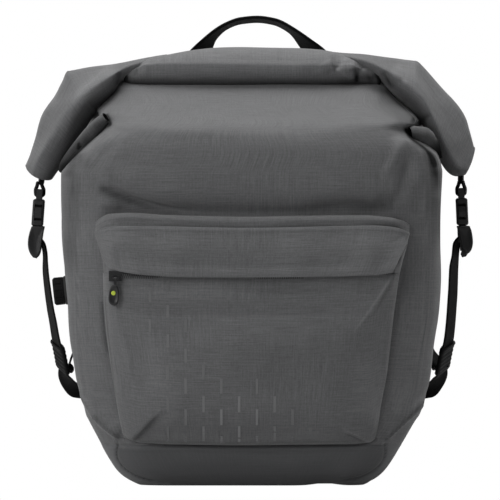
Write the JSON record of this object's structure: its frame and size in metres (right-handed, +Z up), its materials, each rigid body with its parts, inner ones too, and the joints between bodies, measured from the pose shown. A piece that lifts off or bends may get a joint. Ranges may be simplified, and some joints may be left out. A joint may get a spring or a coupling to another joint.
{
  "type": "pannier bag",
  "caption": "Roll-top bicycle pannier in grey coated fabric with zipped front pocket, folded-down roll ends on side-release buckles, carry handle and rack hooks.",
  "frame": {"origin": "centre of the flat base face", "axes": "+Z up, -Y the front (pocket side), +Y towards the rack, +X to the right seen from the front"},
  "size_m": [0.3865, 0.2259, 0.4012],
  "materials": {
    "coated_fabric": "matte woven, coated",
    "boot_fabric": "matte woven, heavier coating",
    "stiffener_plastic": "matte",
    "webbing": "woven webbing",
    "buckle_plastic": "satin moulded",
    "zip_tape": "woven tape",
    "zip_nylon": "satin",
    "zip_metal": "dark plated",
    "puller_plastic": "matte moulded",
    "seal_rubber": "matte",
    "rail_plastic": "matte moulded",
    "steel": "plain",
    "liner_rubber": "matte",
    "latch_plastic": "satin moulded"
  },
  "bodies": {
    "bag": {"front_panel": "coated_fabric", "left_side_panel": "coated_fabric", "right_side_panel": "coated_fabric", "back_panel": "coated_fabric", "base_boot": "boot_fabric", "collar": "coated_fabric", "centre_roll": "coated_fabric", "roll_inner_turn": "coated_fabric", "roll_stiffener": "stiffener_plastic", "back_board": "stiffener_plastic", "base_board": "stiffener_plastic", "left_side_strap": "webbing", "right_side_strap": "webbing", "strap_adjusters": "buckle_plastic", "lower_anchors": "webbing", "pocket_gusset": "coated_fabric", "pocket_panel": "coated_fabric", "pocket_upper_strip": "coated_fabric", "zip_tapes": "zip_tape", "zip_coil": "zip_nylon", "zip_end_stops": "zip_nylon", "valve_flange": "buckle_plastic", "valve_seal": "seal_rubber", "valve_ring_nut": "buckle_plastic", "top_rail": "rail_plastic", "rail_backing_strip": "stiffener_plastic", "rail_screws": "steel", "rail_nuts": "steel", "left_rack_hook": "rail_plastic", "right_rack_hook": "rail_plastic", "hook_liners": "liner_rubber", "latch_springs": "steel", "latch_pins": "steel", "stabiliser_plate": "rail_plastic", "stabiliser_screws": "steel", "stabiliser_nut": "steel"},
    "left_end": {"left_rolled_end": "coated_fabric", "left_buckle_tab": "webbing", "left_buckle_socket": "buckle_plastic", "left_buckle_plug": "buckle_plastic"},
    "right_end": {"right_rolled_end": "coated_fabric", "right_buckle_tab": "webbing", "right_buckle_socket": "buckle_plastic", "right_buckle_plug": "buckle_plastic"},
    "left_prong_f": {"left_front_prong": "buckle_plastic"},
    "left_prong_r": {"left_rear_prong": "buckle_plastic"},
    "right_prong_f": {"right_front_prong": "buckle_plastic"},
    "right_prong_r": {"right_rear_prong": "buckle_plastic"},
    "flap": {"storm_flap": "coated_fabric"},
    "slider": {"zip_slider": "zip_metal"},
    "puller": {"zip_pull_loop": "zip_metal", "zip_pull_tab": "puller_plastic"},
    "valve_turn": {"valve_cap": "buckle_plastic"},
    "left_latch_body": {"left_latch": "latch_plastic"},
    "right_latch_body": {"right_latch": "latch_plastic"},
    "handle": {"carry_handle": "webbing"},
    "stabiliser": {"stabiliser_arm": "rail_plastic", "stabiliser_pad": "liner_rubber"},
    "knob": {"stabiliser_knob": "rail_plastic"}
  },
  "joints": [
    {"name": "left_end_lift", "type": "hinge", "parent": "bag", "child": "left_end", "pos_m": [-0.112, 0.008, 0.353], "axis": [0, 1, 0], "range_deg": [0, 30]},
    {"name": "right_end_lift", "type": "hinge", "parent": "bag", "child": "right_end", "pos_m": [0.112, 0.008, 0.353], "axis": [0, -1, 0], "range_deg": [0, 30]},
    {"name": "left_front_prong_squeeze", "type": "hinge", "parent": "left_end", "child": "left_prong_f", "pos_m": [-0.18482, -0.0005, 0.22028], "axis": [-0.9976, 0, 0.0698], "range_deg": [0, 9], "stiffness_Nm_per_rad": 0.02},
    {"name": "left_rear_prong_squeeze", "type": "hinge", "parent": "left_end", "child": "left_prong_r", "pos_m": [-0.18482, 0.0165, 0.22028], "axis": [0.9976, 0, -0.0698], "range_deg": [0, 9], "stiffness_Nm_per_rad": 0.02},
    {"name": "right_front_prong_squeeze", "type": "hinge", "parent": "right_end", "child": "right_prong_f", "pos_m": [0.18289, -0.0005, 0.22123], "axis": [-0.999, 0, -0.0436], "range_deg": [0, 9], "stiffness_Nm_per_rad": 0.02},
    {"name": "right_rear_prong_squeeze", "type": "hinge", "parent": "right_end", "child": "right_prong_r", "pos_m": [0.18289, 0.0165, 0.22123], "axis": [0.999, 0, 0.0436], "range_deg": [0, 9], "stiffness_Nm_per_rad": 0.02},
    {"name": "handle_lift", "type": "slide", "parent": "bag", "child": "handle", "axis": [0, 0, 1], "range_m": [0, 0.0045]},
    {"name": "left_latch_swing", "type": "hinge", "parent": "bag", "child": "left_latch_body", "pos_m": [-0.08, 0.089, 0.317], "axis": [-1, 0, 0], "range_deg": [0, 28.5], "stiffness_Nm_per_rad": 0.05},
    {"name": "right_latch_swing", "type": "hinge", "parent": "bag", "child": "right_latch_body", "pos_m": [0.08, 0.089, 0.317], "axis": [-1, 0, 0], "range_deg": [0, 28.5], "stiffness_Nm_per_rad": 0.05},
    {"name": "flap_lift", "type": "hinge", "parent": "bag", "child": "flap", "pos_m": [0, -0.1056, 0.2255], "axis": [-1, 0, 0], "range_deg": [0, 70]},
    {"name": "zip_slide", "type": "slide", "parent": "bag", "child": "slider", "axis": [1, 0, 0], "range_m": [0, 0.232]},
    {"name": "puller_swing", "type": "hinge", "parent": "slider", "child": "puller", "pos_m": [-0.116, -0.10795, 0.1779], "axis": [-1, 0, 0], "range_deg": [0, 55]},
    {"name": "valve_twist", "type": "hinge", "parent": "bag", "child": "valve_turn", "pos_m": [-0.1607, -0.018, 0.167], "axis": [-0.9942, 0, -0.108], "range_deg": [0, 90]},
    {"name": "stabiliser_swing", "type": "hinge", "parent": "bag", "child": "stabiliser", "pos_m": [0, 0.0788, 0.11], "axis": [0, 1, 0], "range_deg": [-40, 60]},
    {"name": "stabiliser_knob_turn", "type": "hinge", "parent": "bag", "child": "knob", "pos_m": [0, 0.0788, 0.11], "axis": [0, 1, 0], "range_deg": [-90, 90]}
  ],
  "couplings": [
    {"joint": "left_rear_prong_squeeze", "follows": "left_front_prong_squeeze", "ratio": 1},
    {"joint": "right_rear_prong_squeeze", "follows": "right_front_prong_squeeze", "ratio": 1},
    {"joint": "left_latch_swing", "follows": "handle_lift", "rad_per_m": 108.6},
    {"joint": "right_latch_swing", "follows": "handle_lift", "rad_per_m": 108.6}
  ]
}
